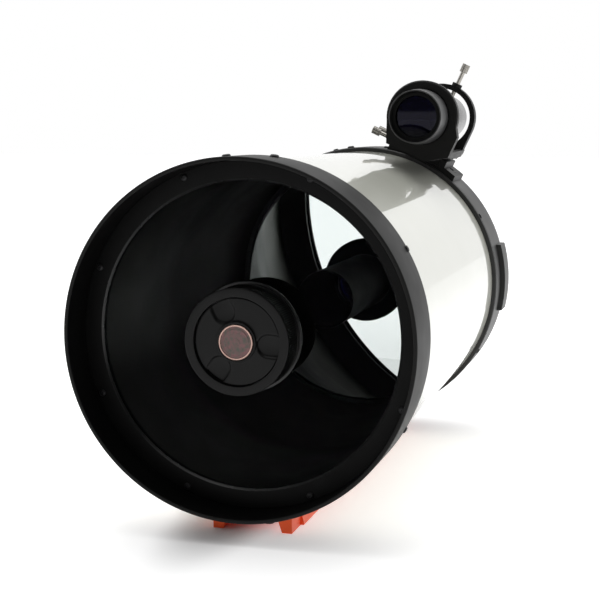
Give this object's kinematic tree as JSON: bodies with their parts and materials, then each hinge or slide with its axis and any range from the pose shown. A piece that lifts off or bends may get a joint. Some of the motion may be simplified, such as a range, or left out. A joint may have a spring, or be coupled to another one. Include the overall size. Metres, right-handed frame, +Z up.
{
  "type": "schmidt-cassegrain telescope",
  "caption": "Schmidt-Cassegrain telescope tube with corrector, moving primary mirror, secondary unit, dovetail bar, rear focus control and a tiltable finder in a bracket.",
  "frame": {"origin": "middle of the dovetail bar, on the plane that its rails rest on, under the optical axis", "axes": "+X right seen from the aperture, +Y from the aperture to the eyepiece end along the optical axis, +Z up"},
  "size_m": [0.335, 0.636, 0.4435],
  "materials": {
    "white_paint": "gloss pearl enamel over aluminium sheet",
    "black_paint": "satin black paint over cast aluminium",
    "flat_black": "flat black optical paint over aluminium",
    "orange_anodised": "orange anodised aluminium",
    "black_anodised": "black anodised aluminium",
    "bare_aluminium": "turned aluminium",
    "nickel": "nickel-plated, knurled",
    "black_steel": "black oxide steel",
    "steel": "turned steel",
    "brass": "turned brass",
    "corrector_glass": "coated float glass",
    "lens_glass": "coated optical glass",
    "mirror": "aluminised glass",
    "rubber": "black rubber",
    "black_plastic": "moulded black plastic",
    "medallion": "printed disc in a metal rim"
  },
  "bodies": {
    "optical_tube": {"main_tube": "white_paint", "front_cell": "black_paint", "corrector_gasket": "rubber", "corrector_plate": "corrector_glass", "retaining_ring": "black_paint", "retaining_ring_screws": "black_steel", "cell_screws": "black_steel", "accessory_plugs": "black_steel", "rear_cell": "black_paint", "vents": "black_anodised", "baffle_tube": "flat_black", "field_lens_cell": "black_anodised", "field_lenses": "lens_glass", "focus_bearing": "steel", "focus_retainer": "black_anodised", "focus_retainer_screws": "black_steel", "clutch_bushings": "brass", "port_adapter": "black_anodised", "secondary_housing": "black_anodised", "secondary_baffle": "flat_black", "dovetail_bar": "orange_anodised", "dovetail_screws": "black_steel", "finder_base": "black_paint", "finder_base_screws": "black_steel"},
    "mirror_carriage": {"primary_mirror": "mirror", "mirror_hub": "bare_aluminium", "mirror_clamp_ring": "flat_black", "focus_nut": "brass", "clutch_rods": "steel"},
    "focus_control": {"focus_screw": "steel", "focus_knob": "bare_aluminium", "focus_grip": "rubber"},
    "clutch_1": {"clutch_knob_1": "black_plastic"},
    "clutch_2": {"clutch_knob_2": "black_plastic"},
    "secondary_unit": {"secondary_cell": "black_anodised"},
    "secondary_clamp": {"secondary_ring": "black_anodised"},
    "secondary_cap": {"secondary_cover": "black_plastic", "cover_medallion": "medallion"},
    "secondary_tilt": {"tilt_plate": "bare_aluminium", "secondary_mirror": "mirror"},
    "collimation_1": {"collimation_screw_1": "black_steel"},
    "collimation_2": {"collimation_screw_2": "black_steel"},
    "collimation_3": {"collimation_screw_3": "black_steel"},
    "bracket": {"finder_bracket": "black_paint", "plunger_housing": "nickel"},
    "clamp_1": {"clamp_screw_1": "nickel"},
    "clamp_2": {"clamp_screw_2": "nickel"},
    "finder_gimbal": {"finder_o_ring": "rubber"},
    "finder": {"finder_tube": "black_paint"},
    "finder_objective": {"finder_objective_cell": "black_anodised", "finder_objective_lens": "lens_glass"},
    "finder_lock": {"finder_lock_ring": "black_anodised"},
    "eyepiece": {"finder_eyepiece": "black_plastic", "finder_eye_lens": "lens_glass"},
    "align_top": {"finder_screw_top": "nickel"},
    "align_side": {"finder_screw_side": "nickel"},
    "plunger": {"plunger_pin": "nickel"},
    "rear_barrel": {"visual_back": "black_anodised"},
    "rear_coupling": {"visual_back_coupling": "black_anodised"},
    "rear_barrel_screw": {"visual_back_screw": "nickel"}
  },
  "joints": [
    {"name": "mirror_travel", "type": "slide", "parent": "optical_tube", "child": "mirror_carriage", "axis": [0, 1, 0], "range_m": [-0.014, 0.005]},
    {"name": "focus_turn", "type": "hinge", "parent": "optical_tube", "child": "focus_control", "pos_m": [-0.09209, 0.292, 0.14918], "axis": [0, 1, 0], "range_deg": [-6720, 2401]},
    {"name": "clutch_turn_1", "type": "hinge", "parent": "optical_tube", "child": "clutch_1", "pos_m": [0.01702, 0.292, 0.27921], "axis": [0, 1, 0], "range_deg": [0, 180]},
    {"name": "clutch_turn_2", "type": "hinge", "parent": "optical_tube", "child": "clutch_2", "pos_m": [0.07507, 0.292, 0.11971], "axis": [0, 1, 0], "range_deg": [0, 180]},
    {"name": "secondary_pull", "type": "slide", "parent": "optical_tube", "child": "secondary_unit", "axis": [0, -1, 0], "range_m": [0, 0.06]},
    {"name": "secondary_ring_turn", "type": "hinge", "parent": "secondary_unit", "child": "secondary_clamp", "pos_m": [0, -0.278, 0.1827], "axis": [0, 1, 0], "range_deg": [0, 1440]},
    {"name": "secondary_cover_turn", "type": "hinge", "parent": "secondary_unit", "child": "secondary_cap", "pos_m": [0, -0.289, 0.1827], "axis": [0, 1, 0], "range_deg": [0, 60]},
    {"name": "secondary_tilt", "type": "hinge", "parent": "secondary_unit", "child": "secondary_tilt", "pos_m": [0, -0.278, 0.1827], "axis": [1, 0, 0], "range_deg": [-0.6, 0.6]},
    {"name": "collimation_turn_1", "type": "hinge", "parent": "secondary_unit", "child": "collimation_1", "pos_m": [0, -0.284, 0.2067], "axis": [0, -1, 0], "range_deg": [-180, 180]},
    {"name": "collimation_turn_2", "type": "hinge", "parent": "secondary_unit", "child": "collimation_2", "pos_m": [0.02079, -0.284, 0.1707], "axis": [0, -1, 0], "range_deg": [-180, 180]},
    {"name": "collimation_turn_3", "type": "hinge", "parent": "secondary_unit", "child": "collimation_3", "pos_m": [-0.02079, -0.284, 0.1707], "axis": [0, -1, 0], "range_deg": [-180, 180]},
    {"name": "finder_slide", "type": "slide", "parent": "optical_tube", "child": "bracket", "axis": [0, 1, 0], "range_m": [0, 0.06]},
    {"name": "clamp_turn_1", "type": "hinge", "parent": "optical_tube", "child": "clamp_1", "pos_m": [0.02848, 0.214, 0.35569], "axis": [-0.907, 0, 0.421], "range_deg": [0, 1080]},
    {"name": "clamp_turn_2", "type": "hinge", "parent": "optical_tube", "child": "clamp_2", "pos_m": [0.02848, 0.246, 0.35569], "axis": [-0.907, 0, 0.421], "range_deg": [0, 1080]},
    {"name": "finder_tilt_up", "type": "hinge", "parent": "bracket", "child": "finder_gimbal", "pos_m": [0.09153, 0.087, 0.37989], "axis": [0.907, 0, -0.421], "range_deg": [-0.75, 0.75]},
    {"name": "finder_tilt_side", "type": "hinge", "parent": "finder_gimbal", "child": "finder", "pos_m": [0.09153, 0.087, 0.37989], "axis": [0.421, 0, 0.907], "range_deg": [-0.75, 0.75]},
    {"name": "finder_focus_turn", "type": "hinge", "parent": "finder", "child": "finder_objective", "pos_m": [0.09153, 0.057, 0.37989], "axis": [0, 1, 0], "range_deg": [-360, 360]},
    {"name": "finder_lock_turn", "type": "hinge", "parent": "finder", "child": "finder_lock", "pos_m": [0.09153, 0.078, 0.37989], "axis": [0, 1, 0], "range_deg": [-180, 180]},
    {"name": "eyepiece_turn", "type": "hinge", "parent": "finder", "child": "eyepiece", "pos_m": [0.09153, 0.272, 0.37989], "axis": [0, 1, 0], "range_deg": [-360, 360]},
    {"name": "align_top_travel", "type": "slide", "parent": "bracket", "child": "align_top", "axis": [0.421, 0, 0.907], "range_m": [-0.0015, 0.0015]},
    {"name": "align_side_travel", "type": "slide", "parent": "bracket", "child": "align_side", "axis": [-0.907, 0, 0.421], "range_m": [-0.0015, 0.0015]},
    {"name": "plunger_travel", "type": "slide", "parent": "bracket", "child": "plunger", "axis": [0.3437, 0, -0.9391], "range_m": [-0.0011, 0.0011]},
    {"name": "visual_back_turn", "type": "hinge", "parent": "optical_tube", "child": "rear_barrel", "pos_m": [0, 0.322, 0.1827], "axis": [0, 1, 0], "continuous": true},
    {"name": "visual_coupling_turn", "type": "hinge", "parent": "optical_tube", "child": "rear_coupling", "pos_m": [0, 0.302, 0.1827], "axis": [0, 1, 0], "range_deg": [0, 1080]},
    {"name": "visual_screw_turn", "type": "hinge", "parent": "rear_barrel", "child": "rear_barrel_screw", "pos_m": [-0.01768, 0.33, 0.20038], "axis": [-0.7071, 0, 0.7071], "range_deg": [0, 1080]}
  ],
  "couplings": [
    {"joint": "focus_turn", "follows": "mirror_travel", "rad_per_m": 8377},
    {"joint": "collimation_turn_1", "follows": "secondary_tilt", "ratio": 301.57},
    {"joint": "finder_tilt_up", "follows": "align_top_travel", "rad_per_m": 8.13},
    {"joint": "plunger_travel", "follows": "align_top_travel", "ratio": -0.7071},
    {"joint": "finder_tilt_side", "follows": "align_side_travel", "rad_per_m": 8.13}
  ]
}
